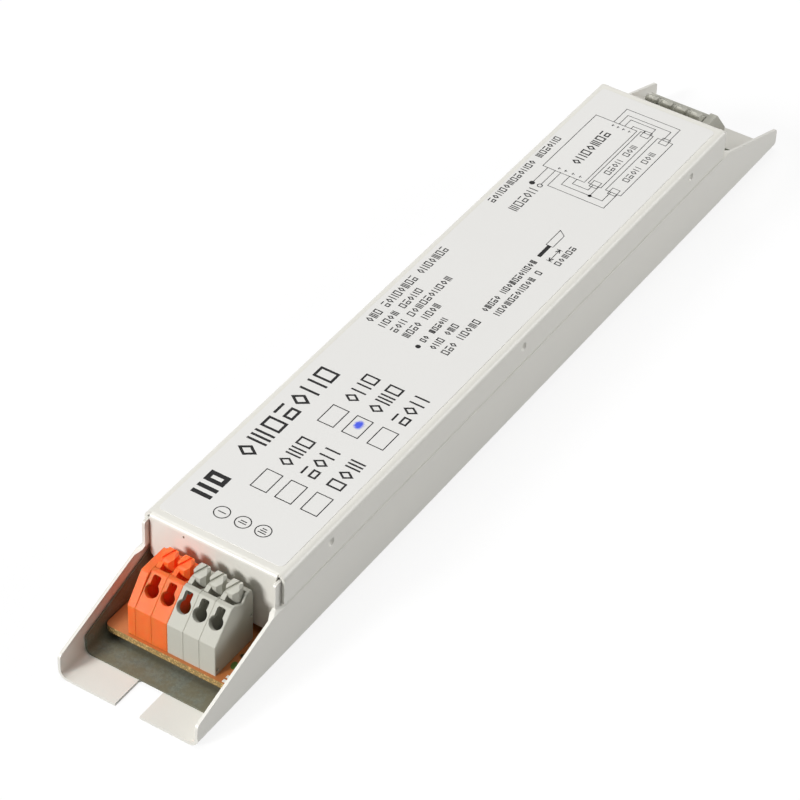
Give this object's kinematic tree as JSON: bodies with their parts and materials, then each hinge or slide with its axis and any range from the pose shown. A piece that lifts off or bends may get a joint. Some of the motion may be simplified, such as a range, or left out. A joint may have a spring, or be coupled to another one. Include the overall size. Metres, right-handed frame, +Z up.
{
  "type": "fluorescent lamp ballast",
  "caption": "Slim electronic ballast for straight fluorescent lamps: folded steel case with tapered open ends, circuit board and screwless clamp strips with release buttons.",
  "frame": {"origin": "middle of the floor's underside, which lies on the luminaire", "axes": "+X along the case towards the lamp end, +Y across, +Z up through the printed top"},
  "size_m": [0.216, 0.0306, 0.0207],
  "materials": {
    "coated_steel": "smooth pale coating on folded sheet",
    "label_film": "thin printed film",
    "pressboard": "dark grey insulating board",
    "laminate": "brown printed circuit laminate",
    "grey_plastic": "light grey moulded plastic",
    "orange_plastic": "orange moulded plastic",
    "spring_steel": "bright spring strip",
    "tinned_copper": "tinned current bar",
    "zinc_steel": "zinc-plated",
    "foot_plastic": "natural moulded plastic",
    "ferrite": "dark sintered ferrite",
    "copper_wire": "enamelled copper winding",
    "bobbin_plastic": "black moulded plastic",
    "film_box": "boxed film capacitor",
    "capacitor_sleeve": "sleeved aluminium can",
    "epoxy_black": "black moulding compound",
    "epoxy_dip": "dipped coating",
    "resistor_body": "lacquered body",
    "fuse_body": "ceramic body",
    "aluminium_sheet": "bent sheet"
  },
  "bodies": {
    "ballast": {"base_channel": "coated_steel", "top_cover": "coated_steel", "top_label": "label_film", "insulation_sheet": "pressboard", "circuit_board": "laminate", "board_feet": "foot_plastic", "earth_pillar": "zinc_steel", "earth_screw": "zinc_steel", "fuse": "fuse_body", "varistor": "epoxy_dip", "line_filter_core": "ferrite", "line_filter_windings": "copper_wire", "interference_capacitor": "film_box", "rectifier_diodes": "epoxy_black", "bulk_capacitors": "capacitor_sleeve", "valley_diodes": "epoxy_black", "drive_ring": "ferrite", "drive_windings": "copper_wire", "trigger_diode": "epoxy_dip", "heat_sink": "aluminium_sheet", "power_transistors": "epoxy_black", "resistors": "resistor_body", "blocking_capacitors": "film_box", "lamp_choke_cores": "ferrite", "lamp_choke_bobbins": "bobbin_plastic", "lamp_choke_windings": "copper_wire", "tuning_capacitors": "film_box", "preheat_thermistors": "epoxy_dip", "near_housing_1": "grey_plastic", "near_spring_1": "spring_steel", "near_housing_2": "grey_plastic", "near_spring_2": "spring_steel", "near_housing_3": "grey_plastic", "near_spring_3": "spring_steel", "near_housing_4": "orange_plastic", "near_spring_4": "spring_steel", "near_housing_5": "orange_plastic", "near_spring_5": "spring_steel", "near_contacts": "tinned_copper", "near_end_plate": "orange_plastic", "far_housing_1": "grey_plastic", "far_spring_1": "spring_steel", "far_housing_2": "grey_plastic", "far_spring_2": "spring_steel", "far_housing_3": "grey_plastic", "far_spring_3": "spring_steel", "far_housing_4": "grey_plastic", "far_spring_4": "spring_steel", "far_contacts": "tinned_copper", "far_end_plate": "grey_plastic"},
    "near_release_1": {"near_button_1": "grey_plastic"},
    "near_release_2": {"near_button_2": "grey_plastic"},
    "near_release_3": {"near_button_3": "grey_plastic"},
    "near_release_4": {"near_button_4": "orange_plastic"},
    "near_release_5": {"near_button_5": "orange_plastic"},
    "far_release_1": {"far_button_1": "grey_plastic"},
    "far_release_2": {"far_button_2": "grey_plastic"},
    "far_release_3": {"far_button_3": "grey_plastic"},
    "far_release_4": {"far_button_4": "grey_plastic"}
  },
  "joints": [
    {"name": "near_press_1", "type": "slide", "parent": "ballast", "child": "near_release_1", "axis": [0, 0, -1], "range_m": [0, 0.0012], "stiffness_N_per_m": 900, "springref_m": -0.001, "deforming": ["near_spring_1"]},
    {"name": "near_press_2", "type": "slide", "parent": "ballast", "child": "near_release_2", "axis": [0, 0, -1], "range_m": [0, 0.0012], "stiffness_N_per_m": 900, "springref_m": -0.001, "deforming": ["near_spring_2"]},
    {"name": "near_press_3", "type": "slide", "parent": "ballast", "child": "near_release_3", "axis": [0, 0, -1], "range_m": [0, 0.0012], "stiffness_N_per_m": 900, "springref_m": -0.001, "deforming": ["near_spring_3"]},
    {"name": "near_press_4", "type": "slide", "parent": "ballast", "child": "near_release_4", "axis": [0, 0, -1], "range_m": [0, 0.0012], "stiffness_N_per_m": 900, "springref_m": -0.001, "deforming": ["near_spring_4"]},
    {"name": "near_press_5", "type": "slide", "parent": "ballast", "child": "near_release_5", "axis": [0, 0, -1], "range_m": [0, 0.0012], "stiffness_N_per_m": 900, "springref_m": -0.001, "deforming": ["near_spring_5"]},
    {"name": "far_press_1", "type": "slide", "parent": "ballast", "child": "far_release_1", "axis": [0, 0, -1], "range_m": [0, 0.0012], "stiffness_N_per_m": 900, "springref_m": -0.001, "deforming": ["far_spring_1"]},
    {"name": "far_press_2", "type": "slide", "parent": "ballast", "child": "far_release_2", "axis": [0, 0, -1], "range_m": [0, 0.0012], "stiffness_N_per_m": 900, "springref_m": -0.001, "deforming": ["far_spring_2"]},
    {"name": "far_press_3", "type": "slide", "parent": "ballast", "child": "far_release_3", "axis": [0, 0, -1], "range_m": [0, 0.0012], "stiffness_N_per_m": 900, "springref_m": -0.001, "deforming": ["far_spring_3"]},
    {"name": "far_press_4", "type": "slide", "parent": "ballast", "child": "far_release_4", "axis": [0, 0, -1], "range_m": [0, 0.0012], "stiffness_N_per_m": 900, "springref_m": -0.001, "deforming": ["far_spring_4"]}
  ]
}
